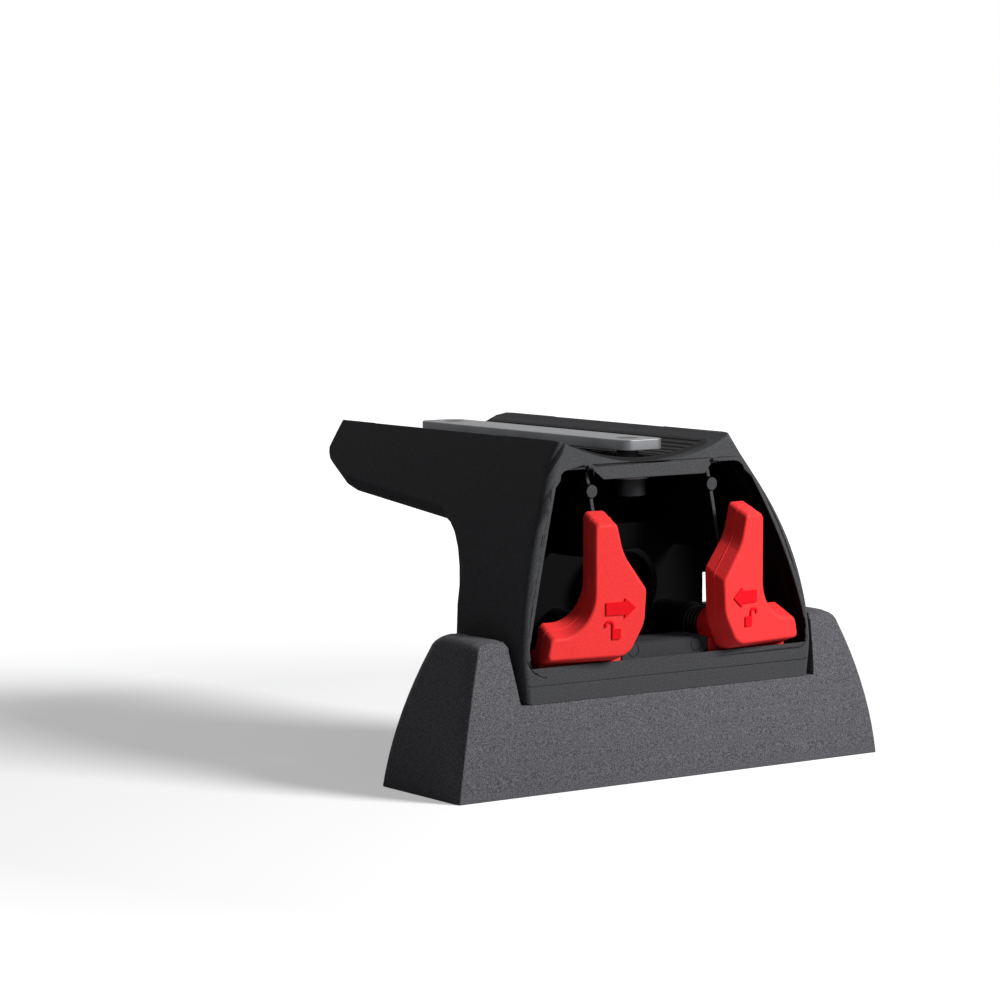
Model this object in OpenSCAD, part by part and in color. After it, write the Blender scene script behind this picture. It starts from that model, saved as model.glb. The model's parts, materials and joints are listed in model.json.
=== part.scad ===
// Quick-release foot for a roof bar.
// A moulded leg carries the bar in a shallow trough along Y. The leg stands on a flared pad
// that is bolted to the roof. Two hooked levers in the front window grip a striker on the pad.
// Origin: middle of the pad's underside. +Z is up, the levers face -Y, the bar runs along Y.

/* [Base pad] */
// Length of the pad at the roof
pad_l = 145.4; // [140:0.2:152]
// Width of the pad at the roof
pad_w = 36.3; // [36:0.1:39]
// Height of the two ears that stand beside the leg
ear_h = 41; // [38:0.5:44]
// How far each end of the pad draws in from the roof to the top of the ears
pad_draw_l = 10.5; // [9:0.1:12]
// How far the front and the back of the pad draw in from the roof to the top of the ears
pad_draw_w = 6.8; // [6:0.1:7]
// Wall of the pad
pad_wall = 3.2; // [2.6:0.1:3.6]
// Corner radius of the pad at the top of the ears. It sharpens to a fifth of this at the roof
pad_corner_r = 7; // [4:0.5:7.5]
// Rounding over the top of the ears
ear_top_r = 3.6; // [2:0.2:4.2]
// Height of the front edge between the ears
notch_z = 23.8; // [22:0.2:25]
// Gap between an ear and the leg at its widest
ear_room = 0.6; // [0.4:0.1:1]
// How far the inner side of an ear leans away from the leg
ear_lean = 1.6; // [1:0.2:2.4]
// Height of the floor of the pocket that the leg plugs into
pocket_z = 14; // [12:0.5:15]
// Thickness of that floor
pocket_floor = 3; // [2:0.2:4]
// Thickness of the rubber gasket under the pad
gasket_t = 2.8; // [2:0.2:4]
// Thickness of the ribs under the pad
rib_t = 2.2; // [1.6:0.2:3]

/* [Roof plate and striker] */
// Thickness of the steel plate in the pocket
plate_t = 3; // [2:0.5:4]
// Distance between the two roof bolt holes
bolt_pitch = 68; // [60:1:74]
// Radius of the roof bolt holes
bolt_hole_r = 3.3; // [2.7:0.1:4.3]
// Width of the striker between the two hooks
striker_l = 29.6; // [27:0.2:31]
// Height of the top of the striker
striker_top = 37.3; // [36:0.1:39]
// Thickness of the lips that the hooks catch under
lip_t = 4.3; // [3.9:0.1:5]
// Thickness of the striker's front wall
striker_wall = 2.6; // [2:0.1:3]
// Width of the striker's stem under the lips
stem_l = 19; // [16:0.5:20]
// Radius of the cross pins in the lips
striker_pin_r = 1.75; // [1.2:0.05:1.8]
// Distance of each cross pin from the middle
striker_pin_x = 10.9; // [9:0.1:12]
// Radius of the screws that hold the striker on the plate
striker_screw_r = 2; // [1.5:0.1:2.5]
// Distance of each of those screws from the middle
striker_screw_x = 5.5; // [4.5:0.1:6]

/* [Leg] */
// Height of the leg to the edges of the trough
leg_h = 92; // [88:1:97]
// Length of the leg at its widest, across the bar
leg_l = 100.2; // [98:0.2:102]
// Length of the leg at its top edges
leg_top_l = 59.4; // [56:0.2:63]
// How far each end of the leg tucks in towards the pad
leg_tuck = 1.2; // [0.4:0.1:1.6]
// How far the front of the leg has leaned back at its top
front_lean = 11.5; // [9:0.5:13]
// Rounding of the front edges of the leg
rim_r = 2; // [1.2:0.2:2.6]
// Width of the rim beside the foot of the window
rim_low_w = 2.2; // [1.8:0.1:2.8]
// Width of the rim beside the top of the window
rim_top_w = 3; // [2.4:0.1:3.6]
// Extra width of the rim half way up
rim_swell = 1.1; // [0.6:0.1:1.6]
// Height of the sill of the window
sill_z = 32; // [31.4:0.1:32.6]
// Radius of the lower corners of the window
window_r = 6; // [4:0.5:7]
// Depth of the rebate that a cover would seat in
rebate_d = 4.2; // [3:0.2:5]
// Width of the step at the back of the rebate
rebate_step = 0.8; // [0.5:0.1:1]
// Thickness of the wall below the window
front_wall = 3; // [2.6:0.1:3.2]
// Thickness of the back wall of the window
back_wall = 4.2; // [3.4:0.1:5]
// Inner edge of the slots in the back wall, from the middle
slot_in = 33; // [31:0.5:34]
// Outer edge of the slots in the back wall, from the middle
slot_out = 41.5; // [40:0.5:42]
// Height of those slots
slot_h = 9; // [7:0.5:12]
// Distance of the two webs from the middle
web_x = 21.5; // [20.5:0.1:22.5]
// Thickness of the webs
web_t = 2.2; // [1.6:0.1:3]
// Radius of the ring on the back wall
ring_r = 11; // [9:0.5:11.5]

/* [Arm and trough] */
// Distance of the far end of the arm from the origin
arm_reach = 105; // [98:0.5:112]
// Depth of the arm below the edges of the trough where it leaves the leg
arm_root_d = 23.6; // [21:0.2:25]
// Depth of the arm below those edges at its lower corner
arm_tip_d = 19.2; // [17:0.1:20.5]
// Radius of the curve between the back of the leg and the arm
knee_r = 21.5; // [17:0.5:23]
// Rounding of the lower edges of the arm
arm_edge_r = 4.5; // [2:0.5:5]
// Radius of the trough
trough_r = 68; // [62:1:80]
// Depth of the trough below its edges
trough_d = 6.6; // [5:0.2:7.4]
// Thickness of the wall under the trough
trough_wall = 3.9; // [3.4:0.1:4.6]
// Thickness of the rubber strip in the trough
strip_t = 1; // [0.6:0.1:1.6]
// Width of the rubber strip
strip_l = 46; // [36:1:50]
// Side of the square cells under the arm
cell = 13.2; // [11:0.2:13.8]
// Depth of the cells
cell_d = 3.4; // [2:0.2:4]
// Thickness of the ribs between the cells
cell_rib = 2.6; // [2:0.1:3]

/* [Bar clamp] */
// Radius of the two clamp screws
clamp_screw_r = 3; // [2.5:0.1:4]
// Distance of the front clamp screw from the origin
clamp_front_y = 4.5; // [2:0.5:6]
// Distance of the rear clamp screw from the origin
clamp_rear_y = 88; // [84:0.5:92]
// Thickness of the clamp plate that sits in the bar's channel
clamp_t = 3; // [2:0.2:4]
// Width of the clamp plate
clamp_l = 14; // [11:0.5:18]
// Space between the strip and the clamp plate, for the lips of the channel
clamp_gap = 2; // [1.5:0.1:2.6]

/* [Levers] */
// Angle between each lever's face and the front of the foot
lever_yaw = 7.8; // [4:0.2:10]
// Distance of each pivot from the middle, at the lever's face
pivot_x = 23.1; // [22.8:0.1:23.6]
// Height of the pivots
pivot_z = 39.5; // [39:0.1:40]
// How far the face of a lever stands in front of the leg at the pivot
lever_proud = 4.4; // [4:0.1:5]
// Height of a lever's tab above the pivot
tab_h = 31.2; // [28:0.2:33]
// Width of the tab
tab_l = 6.7; // [6:0.1:9]
// Distance of the tab's outer side from the pivot
tab_out = 6; // [5:0.1:7]
// Reach of the toe from the pivot
toe_out = 20.5; // [18:0.1:20.8]
// Height of the toe
toe_h = 5.7; // [5:0.1:7]
// How far the inner bulge reaches from the pivot
bulge_in = 9.8; // [8.5:0.1:10.4]
// Height of the bulge above the pivot
bulge_h = 13; // [11:0.2:15]
// Depth of the lever's base below the pivot
base_d = 4.2; // [3.8:0.1:4.6]
// Thickness of a lever's finger plate
lever_t = 7.2; // [6.4:0.1:7.6]
// Radius of the inner curve between the tab and the toe
lever_curve_r = 10; // [7:0.5:12]
// How far the back of the plate stands beyond its face
lever_flare = 4; // [2.5:0.1:4.6]
// Radius of the pivot pins
pin_r = 2.5; // [2:0.1:3]
// Radius of the hub round each pin
hub_r = 4.8; // [4.4:0.1:5]
// Thickness of the hook under the lip
hook_t = 3; // [2.4:0.1:3.2]
// How far each hook reaches under the lip
hook_grip = 3.2; // [2.4:0.1:3.6]
// Diameter of the wire of the return springs
spring_wire = 1; // [0.6:0.1:1.2]
// Turns in each return spring
spring_turns = 3.5; // [2.5:1:4.5]

/* [Hidden] */

// Clearances
seat = 0.2;
run_fit = 0.05;
snug = 0.02;
past = 1;

// Where the pad's sides are at a height z, measured from the middle
function draw_x(z) = pad_draw_l * (0.45 * z / ear_h + 0.55 * pow(z / ear_h, 2));
function draw_y(z) = pad_draw_w * (0.1 * z / ear_h + 0.9 * pow(z / ear_h, 2));
function pad_half_l(z) = pad_l / 2 - draw_x(z);
function pad_half_w(z) = pad_w / 2 - draw_y(z);

// The leg's outline: half its length at a height z, its front face and its back face
leg_front = pad_half_w(notch_z) + 0.1;
leg_back = leg_front - 0.9;
lean_z = 28;
wide_z = 30;
tuck_z = wide_z + 4;
function leg_half_l(z) =
    leg_l / 2
    - (leg_l - leg_top_l) / 2 * pow(max(z - wide_z, 0) / (leg_h - wide_z), 2)
    - leg_tuck * max(tuck_z - z, 0) / (tuck_z - notch_z);
function front_y(z) = -leg_front + front_lean * pow(max(z - lean_z, 0) / (leg_h - lean_z), 2);

arm_low_z = leg_h - arm_root_d;
arm_end_z = leg_h - arm_tip_d;

// The trough, an arc about an axis along Y
trough_floor = leg_h - trough_d;
trough_axis_z = trough_floor + trough_r;

// The pocket in the pad and the spigot of the leg that fills it
pocket_l = leg_l - 5.6;
pocket_w = 2 * leg_back - 4.2;
plate_top = pocket_z + plate_t;
spigot_l = pocket_l - 1;
spigot_w = pocket_w - 0.8;
spigot_wall = 2.4;
spigot_z = plate_top + seat;

// The inside of the leg behind the window
cavity_front = -leg_front + front_wall;
cavity_back = leg_back + 1.2 - back_wall;

// A lever's own frame: x outward from the pivot, y back from its face, z up
lever_y = -leg_front - lever_proud;
hub_end = 15.2;
spring_room = 6;
boss_start = hub_end + spring_room;
boss_end = (cavity_back - lever_y) / cos(lever_yaw) + 1.5;
boss_r = hub_r + 0.7;
washer_t = 0.8;
clip_t = 0.8;
spring_r = hub_r - 1.4 + 0.25 + spring_wire / 2;
spring_peg_x = spring_r - spring_wire / 2 - 1.05;
spring_peg_z = 5.2;
pin_end = boss_end + washer_t + clip_t + 0.9;
pin_start = 3.2;
washer_r = 5;
clip_r = 4.4;
groove_r = pin_r - 0.6;

// Heights of the hook and of the lip above it
lip_z = striker_top - lip_t;
hook_top = lip_z - 0.4;
hook_low = hook_top - hook_t;
striker_front = cavity_front + seat;
stem_front = -(spigot_w / 2 - spigot_wall) + seat;
striker_back = -1.3;
striker_pin_z = lip_z + lip_t / 2;
striker_wall_back = striker_front + striker_wall;
foot_front = striker_front + 0.1;
foot_back = foot_front + 7;

// Points of a rounded polygon. Each corner is [x, y, radius] and turns through arc_n steps
arc_n = 5;
function unit(v) = v / norm(v);
function turn_at(a, b, c) =
    let (
        p = [b[0], b[1]],
        u = unit([a[0], a[1]] - p),
        v = unit([c[0], c[1]] - p),
        half = acos(max(-1, min(1, u * v))) / 2,
        to_c = unit(u + v),
        centre = p + to_c * b[2] / sin(half),
        first = p + u * b[2] / tan(half),
        last = p + v * b[2] / tan(half),
        a0 = atan2(first[1] - centre[1], first[0] - centre[0]),
        a1 = atan2(last[1] - centre[1], last[0] - centre[0]),
        sweep = a1 - a0 - 360 * round((a1 - a0) / 360)
    )
    [for (i = [0:arc_n]) centre + b[2] * [cos(a0 + sweep * i / arc_n), sin(a0 + sweep * i / arc_n)]];
function rounded(corners) =
    let (n = len(corners))
    [for (i = [0:n - 1]) each turn_at(corners[(i + n - 1) % n], corners[i], corners[(i + 1) % n])];

// The same outline moved inward by d, for one that runs clockwise
function inset(pts, d) =
    let (n = len(pts))
    [for (i = [0:n - 1])
        let (
            u = unit(pts[i] - pts[(i + n - 1) % n]),
            v = unit(pts[(i + 1) % n] - pts[i]),
            side = unit([u[1] + v[1], -u[0] - v[0]])
        )
        pts[i] + side * d];

// A solid through a list of rings that have equal numbers of points. Each end closes as a fan
// round a point, the mean of the ring unless one is given
function mean(pts) = [for (k = [0:2]) [for (p = pts) p[k]] * [for (p = pts) 1] / len(pts)];
module skin(rings, ends = undef) {
    n = len(rings[0]);
    last = (len(rings) - 1) * n;
    count = len(rings) * n;
    hubs = is_undef(ends) ? [mean(rings[0]), mean(rings[len(rings) - 1])] : ends;
    polyhedron(
        points = concat([for (ring = rings) each ring], hubs),
        faces = concat(
            [for (i = [0:n - 1]) [count, i, (i + 1) % n]],
            [for (k = [0:len(rings) - 2]) for (i = [0:n - 1])
                let (a = k * n + i, b = k * n + (i + 1) % n)
                each [[a, a + n, b], [b, a + n, b + n]]],
            [for (i = [0:n - 1]) [count + 1, last + (i + 1) % n, last + i]]
        ),
        convexity = 8
    );
}

// A block that is centred on x and runs from y0 to y1 and from z0 to z1
module block(l, y0, y1, z0, z1) {
    translate([-l / 2, y0, z0])
        cube([l, y1 - y0, z1 - z0]);
}

// An outline in X and Z, extruded from y0 to y1
module front_prism(y0, y1) {
    translate([0, y1, 0])
        rotate([90, 0, 0])
            linear_extrude(y1 - y0)
                children();
}

// An outline in Y and Z, extruded over a length centred on x
module side_prism(l) {
    translate([-l / 2, 0, 0])
        rotate([90, 0, 90])
            linear_extrude(l)
                children();
}

// A round bar along Y
module y_rod(r, x, z, y0, y1) {
    translate([x, y0, z])
        rotate([-90, 0, 0])
            cylinder(r = r, h = y1 - y0, $fn = 64);
}

module both_sides() {
    children();
    mirror([1, 0, 0])
        children();
}

// Base pad

pad_layers = 9;
function pad_ring(z, wall, over) =
    let (
        l = pad_half_l(z) - wall - over,
        w = pad_half_w(z) - wall - over,
        r = max(pad_corner_r * (0.2 + 0.8 * z / ear_h) - wall, 0.8)
    )
    [for (p = rounded([[l, -w, r], [l, w, r], [-l, w, r], [-l, -w, r]])) [p[0], p[1], z]];

// The pad's outer form: a concave skirt with rounded tops
module pad_form() {
    shoulder = ear_h - ear_top_r;
    skin(concat(
        [for (k = [0:pad_layers]) pad_ring(shoulder * k / pad_layers, 0, 0)],
        [for (a = [22.5:22.5:90])
            pad_ring(shoulder + ear_top_r * sin(a), 0, ear_top_r * (1 - cos(a)))]
    ));
}

// The inner side of the skirt
module pad_inside(top) {
    skin([for (k = [0:pad_layers])
        let (z = k == 0 ? 0 : top * k / pad_layers)
        [for (p = pad_ring(z, pad_wall, 0)) [p[0], p[1], k == 0 ? -past : p[2]]]]);
}

// The gap between the ears, seen from the front
module ear_gap() {
    low = leg_l / 2 + ear_room;
    high = low + ear_lean;
    r = 3.4;
    polygon(concat(
        [[-low, notch_z], [-high, ear_h - r]],
        [for (a = [15:15:90]) [-high - r + r * cos(a), ear_h - r + r * sin(a)]],
        [[-high - r, ear_h + past], [high + r, ear_h + past]],
        [for (a = [90:-15:15]) [high + r - r * cos(a), ear_h - r + r * sin(a)]],
        [[high, ear_h - r], [low, notch_z]]
    ));
}

ear_inner_x = leg_l / 2 + ear_room + ear_lean + pad_wall;
pad_boss_r = bolt_hole_r + 3.6;

module base_pad() color([0.21, 0.21, 0.22]) {
    rib_x = [0, 17, ear_inner_x - pad_wall];
    roof = pocket_z - pocket_floor;
    difference() {
        pad_form();
        front_prism(-pad_w, pad_w)
            ear_gap();
        block(pocket_l, -pocket_w / 2, pocket_w / 2, pocket_z, ear_h);
        difference() {
            intersection() {
                pad_inside(ear_h - pad_wall);
                union() {
                    block(pad_l, -pad_w, pad_w, -past, roof);
                    both_sides()
                        translate([ear_inner_x, -pad_w, -past])
                            cube([pad_l, 2 * pad_w, ear_h]);
                }
            }
            for (x = rib_x)
                both_sides()
                    translate([x - rib_t / 2, -pad_w, gasket_t + seat])
                        cube([rib_t, 2 * pad_w, roof + 4]);
            block(pad_l, -rib_t / 2, rib_t / 2, gasket_t + seat, roof + past);
            both_sides()
                translate([bolt_pitch / 2, 0, gasket_t + seat])
                    cylinder(r = pad_boss_r, h = roof, $fn = 48);
        }
        both_sides()
            translate([bolt_pitch / 2, 0, -past])
                cylinder(r = bolt_hole_r, h = ear_h, $fn = 48);
    }
}

module roof_gasket() color([0.09, 0.09, 0.09]) {
    l = 2 * (pad_half_l(0) - pad_wall) - 0.9;
    w = 2 * (pad_half_w(0) - pad_wall) - 0.9;
    r = 2;
    difference() {
        linear_extrude(gasket_t)
            polygon(rounded([[l / 2, w / 2, r], [l / 2, -w / 2, r], [-l / 2, -w / 2, r], [-l / 2, w / 2, r]]));
        both_sides()
            translate([bolt_pitch / 2, 0, -past])
                cylinder(r = bolt_hole_r, h = gasket_t + 2 * past, $fn = 48);
    }
}

// Roof plate and striker

module roof_plate() color([0.62, 0.63, 0.65]) {
    l = pocket_l - 1.2;
    w = pocket_w - 1.2;
    r = 4;
    difference() {
        translate([0, 0, pocket_z])
            linear_extrude(plate_t)
                polygon(rounded([[l / 2, w / 2, r], [l / 2, -w / 2, r],
                    [-l / 2, -w / 2, r], [-l / 2, w / 2, r]]));
        both_sides() {
            translate([bolt_pitch / 2, 0, 0])
                cylinder(r = bolt_hole_r, h = ear_h, $fn = 48);
            striker_screw_shape(snug, past);
        }
    }
}

striker_screw_y = (stem_front + striker_back) / 2;
striker_screw_len = 12;
module striker_screw_shape(more, below) {
    head_r = 1.9 * striker_screw_r;
    translate([striker_screw_x, striker_screw_y, pocket_z]) {
        cylinder(r = striker_screw_r + more, h = striker_screw_len, $fn = 48);
        translate([0, 0, -below])
            cylinder(r = head_r + more, h = 0.5 + below, $fn = 48);
        translate([0, 0, 0.5])
            cylinder(r1 = head_r + more, r2 = striker_screw_r + more, h = head_r - striker_screw_r, $fn = 48);
    }
}

module striker_screw() color([0.7, 0.71, 0.73])
    difference() {
        striker_screw_shape(0, 0);
        translate([striker_screw_x, striker_screw_y, pocket_z - past])
            cylinder(r = 0.6 * striker_screw_r, h = past + 1.4, $fn = 6);
    }

module striker_screw_right() striker_screw();
module striker_screw_left() mirror([1, 0, 0]) striker_screw();

module striker() color([0.2, 0.205, 0.215]) {
    r = 1.2;
    front_low = notch_z + 2.4;
    difference() {
        union() {
            front_prism(striker_front, striker_wall_back)
                polygon(rounded([[striker_l / 2, striker_top, 0.5], [striker_l / 2, front_low, r],
                    [-striker_l / 2, front_low, r], [-striker_l / 2, striker_top, 0.5]]));
            block(striker_l, striker_wall_back - past, striker_back, lip_z, striker_top);
            block(stem_l, striker_wall_back - past, striker_back, front_low, lip_z + past);
            block(stem_l, stem_front, striker_back, plate_top, lip_z);
            block(striker_l, stem_front, 5, plate_top, plate_top + 3);
        }
        both_sides() {
            y_rod(striker_pin_r + snug, striker_pin_x, striker_pin_z, striker_front - past, striker_back + past);
            striker_screw_shape(snug, 0);
        }
    }
}

module striker_pin_right() color([0.26, 0.265, 0.275])
    y_rod(striker_pin_r, striker_pin_x, striker_pin_z, striker_front, striker_back);

module striker_pin_left() mirror([1, 0, 0]) striker_pin_right();

// Leg

// Where the underside of the leg and arm is, as [y, z] stations from the back of the post to the tip
back_low_y = leg_back - 0.1;
back_slope = 0.13;
knee_z = arm_low_z - knee_r;
knee_y = leg_back + 1.9;
arm_corner_y = arm_reach - 17.4;
arm_nose_y = arm_reach - 2.8;
arm_nose_z = arm_end_z + 6.2;
half_post = (knee_z - notch_z) / 2;
under = concat(
    [[knee_y - back_slope * 2 * half_post, notch_z], [knee_y - back_slope * half_post, knee_z - half_post]],
    [for (a = [180:-14:96]) [knee_y + knee_r + knee_r * cos(a), knee_z + knee_r * sin(a)]],
    [[arm_corner_y - 2.6, arm_end_z - 0.3], [arm_corner_y + 1.6, arm_end_z + 0.6]],
    [[arm_nose_y - 1.2, arm_nose_z - 0.6], [arm_nose_y, arm_nose_z + 1.2]],
    [[arm_reach, leg_h - 1.4]]
);

// How far a side has drawn in at a distance d inside an edge of radius r
function round_in(d, r) = d >= r ? 0 : r - sqrt(r * r - pow(r - max(d, 0), 2));

// One cross-section of the leg at a depth y: its top is at zt and its underside at zb
side_n = 8;
tip_r = 2.6;
function side_x(y, z) =
    leg_half_l(z) - round_in(y - front_y(z), rim_r) - round_in(arm_reach - y, tip_r);
function leg_ring(y, zt, zb) =
    let (
        er = max(0.6, min(arm_edge_r, 0.22 * (y - knee_y), 0.35 * (zt - zb))),
        side = [for (i = [0:side_n])
            let (z = zt + (zb + er - zt) * i / side_n)
            [side_x(y, z), z]],
        cx = side_x(y, zb + er) - er,
        corner = [for (a = [22.5:22.5:90]) [cx + er * cos(a), zb + er - er * sin(a)]],
        right = concat(side, corner)
    )
    concat(
        [for (p = right) [p[0], y, p[1]]],
        [for (i = [len(right) - 1:-1:0]) [-right[i][0], y, right[i][1]]]
    );

// The whole outer form of the leg and arm, as one loft from the front face to the tip
module leg_form() {
    front_steps = 18;
    top = leg_h + 0.5;
    front_rings = [for (k = [0:front_steps])
        let (zt = lean_z + 2 + (top - lean_z - 2) * k / front_steps)
        leg_ring(front_y(zt), zt, notch_z)];
    fold = [0.5, 1.1, rim_r + 0.2];
    mid_rings = concat(
        [for (d = fold) leg_ring(front_y(top) + d, top, notch_z)],
        [leg_ring(under[0][0] - 1, top, notch_z)]
    );
    back_rings = [for (p = under) leg_ring(p[0], top, p[1])];
    skin(concat(front_rings, mid_rings, back_rings));
}

// The window's half length at a height z, for a wall that is more wide
rim_low_z = 40;
rim_top_z = 80;
function window_half(z, more) =
    let (t = (z - rim_low_z) / (rim_top_z - rim_low_z))
    leg_half_l(z) - (rim_low_w + (rim_top_w - rim_low_w) * t + 4 * rim_swell * t * (1 - t)) - more;

// The window seen from the front. Its top drops to a lintel in the middle
lintel_low = trough_floor - trough_wall;
lintel_high = lintel_low + 3;
module window_outline(more, r) {
    side = [for (z = [sill_z + r + 2:4:lintel_high - 4]) [window_half(z, more), z]];
    low_x = window_half(sill_z + r, more);
    high_x = window_half(lintel_high, more);
    half = concat(
        [[web_x - 4, lintel_low], [web_x - 1, lintel_high - 0.4], [web_x + 0.6, lintel_high]],
        [for (a = [90:-30:0]) [high_x - 3 + 3 * cos(a), lintel_high - 2.6 + 2.6 * sin(a)]],
        [for (i = [len(side) - 1:-1:0]) side[i]],
        [for (a = [0:-18:-90]) [low_x - r + r * cos(a), sill_z + r + r * sin(a)]]
    );
    polygon(concat(half, [for (i = [len(half) - 1:-1:0]) [-half[i][0], half[i][1]]]));
}

// Everything in front of a face that lies d behind the leg's front
module front_zone(d) {
    side_prism(2 * leg_l)
        polygon(concat(
            [[-3 * pad_w, sill_z - past], [-3 * pad_w, leg_h]],
            [for (k = [8:-1:0])
                let (z = sill_z + (leg_h - sill_z) * k / 8)
                [front_y(z) + d, z]],
            [[front_y(sill_z) + d, sill_z - past]]
        ));
}

module trough_cut(r) {
    translate([0, -pad_w, trough_axis_z])
        rotate([-90, 0, 0])
            cylinder(r = r, h = arm_reach + 2 * pad_w, $fn = 180);
}

// Room behind the window for the levers, their hooks and the striker
module leg_cavity() {
    intersection() {
        front_prism(-2 * pad_w, cavity_back)
            window_outline(0, window_r);
        front_zone(rebate_d);
    }
    front_prism(-2 * pad_w, cavity_back)
        window_outline(rebate_step, window_r / 2);
    block(2 * (leg_half_l(sill_z) - 5.4), cavity_front, cavity_back, notch_z + 1.8, sill_z + 4);
    block(spigot_l - 2 * spigot_wall, -spigot_w / 2 + spigot_wall, spigot_w / 2 - spigot_wall,
        spigot_z - past, notch_z + 4);
}

// Room above the knee, between and beside the webs
upper_back = cavity_back + 13;
upper_low = arm_low_z - 1.6;
module upper_cavity() {
    inner = 2 * web_x - web_t;
    block(inner, 0, upper_back, upper_low, lintel_low);
    both_sides()
        translate([web_x + web_t / 2, 0, upper_low])
            cube([8.2, upper_back, lintel_low - upper_low + 1.6]);
}

// The web on the right, which stands on the back wall and carries the lintel
module web() {
    start = front_y(arm_low_z) + 3.4;
    foot_z = arm_low_z - 8;
    translate([web_x - web_t / 2, start, foot_z])
        cube([web_t, cavity_back + past - start, lintel_high - foot_z + past]);
    translate([web_x - web_t / 2, start, upper_low - past])
        cube([web_t, upper_back + past - start, lintel_high - upper_low + 2 * past]);
}

// Moulding cells under the arm. Their roofs follow the slope of its underside
module arm_cells() {
    pitch = cell + cell_rib;
    first_y = knee_y + knee_r - 1.5;
    rise = (arm_end_z - arm_low_z) / (arm_corner_y - first_y);
    for (col = [-2:1]) for (row = [0:2])
        translate([col * pitch + cell_rib / 2, first_y + row * pitch, arm_low_z - knee_r])
            cube([cell, cell, knee_r + rise * row * pitch + cell_d]);
}

// A lever's frame, on the right-hand side
module lever_frame() {
    translate([pivot_x, lever_y, pivot_z])
        rotate([0, 0, lever_yaw])
            children();
}

// A round shape about the lever's pivot from depth y0 to y1
module pivot_rod(r, y0, y1) {
    translate([0, y0, 0])
        rotate([-90, 0, 0])
            cylinder(r = r, h = y1 - y0, $fn = 64);
}

boss_z = lintel_low - 3.1;
clamp_head_r = 1.67 * clamp_screw_r;
clamp_seat_z = trough_floor - trough_wall;

module leg_body() color([0.1, 0.1, 0.105]) {
    difference() {
        union() {
            difference() {
                union() {
                    leg_form();
                    block(spigot_l, -spigot_w / 2, spigot_w / 2, spigot_z, notch_z + 3);
                }
                leg_cavity();
                upper_cavity();
                arm_cells();
                both_sides()
                    translate([slot_in, cavity_back - past, pivot_z + 2.8])
                        cube([slot_out - slot_in, back_wall + knee_r, slot_h]);
            }
            both_sides() {
                web();
                y_rod(2.4, web_x - 0.4, boss_z, front_y(boss_z) + 1.8, front_y(boss_z) + 6);
                lever_frame() {
                    pivot_rod(boss_r, boss_start, boss_end);
                    translate([-spring_peg_x, 0, -spring_peg_z])
                        pivot_rod(1, boss_start - 1.8, boss_start + 2);
                }
            }
            y_rod(ring_r, 0, pivot_z + 11, cavity_back - 7, cavity_back + past);
        }
        y_rod(ring_r - 1.8, 0, pivot_z + 11, cavity_back - 8, cavity_back - 1.4);
        trough_cut(trough_r);
        both_sides()
            lever_frame() {
                pivot_rod(pin_r + run_fit, boss_start - past, boss_end + past);
                pivot_rod(washer_r + 1.2, boss_end, boss_end + 12);
            }
        for (y = [clamp_front_y, clamp_rear_y]) {
            translate([0, y, arm_low_z - 8])
                cylinder(r = clamp_screw_r + 0.3, h = leg_h, $fn = 48);
            translate([0, y, arm_low_z - 8])
                cylinder(r = clamp_head_r + 1.6, h = clamp_seat_z - arm_low_z + 8, $fn = 48);
        }
    }
}

// Bar clamp

module saddle_strip() color([0.07, 0.07, 0.07]) {
    start = front_y(leg_h) + 3;
    difference() {
        intersection() {
            block(strip_l, start, arm_reach - 4, trough_floor - past, leg_h);
            trough_cut(trough_r - 0.05);
        }
        trough_cut(trough_r - strip_t);
        for (y = [clamp_front_y, clamp_rear_y])
            translate([0, y, 0])
                cylinder(r = clamp_screw_r + 0.3, h = leg_h, $fn = 48);
    }
}

clamp_z = trough_floor + strip_t + clamp_gap;
module clamp_plate() color([0.6, 0.61, 0.63]) {
    y0 = clamp_front_y - 8;
    y1 = clamp_rear_y + 8;
    r = 3;
    difference() {
        translate([0, 0, clamp_z])
            linear_extrude(clamp_t)
                polygon(rounded([[clamp_l / 2, y1, r], [clamp_l / 2, y0, r],
                    [-clamp_l / 2, y0, r], [-clamp_l / 2, y1, r]]));
        for (y = [clamp_front_y, clamp_rear_y])
            translate([0, y, 0])
                cylinder(r = clamp_screw_r + snug, h = 2 * leg_h, $fn = 48);
    }
}

clamp_washer_t = 1.2;
module clamp_washer(y) color([0.72, 0.73, 0.75])
    translate([0, y, clamp_seat_z - clamp_washer_t])
        difference() {
            cylinder(r = clamp_head_r + 1, h = clamp_washer_t, $fn = 48);
            translate([0, 0, -past])
                cylinder(r = clamp_screw_r + 0.3, h = clamp_washer_t + 2 * past, $fn = 48);
        }

module clamp_washer_front() clamp_washer(clamp_front_y);
module clamp_washer_rear() clamp_washer(clamp_rear_y);

module clamp_screw(y) color([0.55, 0.56, 0.58]) {
    head_h = 1.6 * clamp_screw_r;
    top = clamp_seat_z - clamp_washer_t;
    difference() {
        union() {
            translate([0, y, top - head_h])
                cylinder(r = clamp_head_r, h = head_h, $fn = 48);
            translate([0, y, top - past])
                cylinder(r = clamp_screw_r, h = clamp_z + clamp_t - top + past, $fn = 48);
        }
        translate([0, y, top - head_h - past])
            cylinder(r = 0.9 * clamp_screw_r, h = past + 0.55 * head_h, $fn = 6);
    }
}

module clamp_screw_front() clamp_screw(clamp_front_y);
module clamp_screw_rear() clamp_screw(clamp_rear_y);

// Levers

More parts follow.
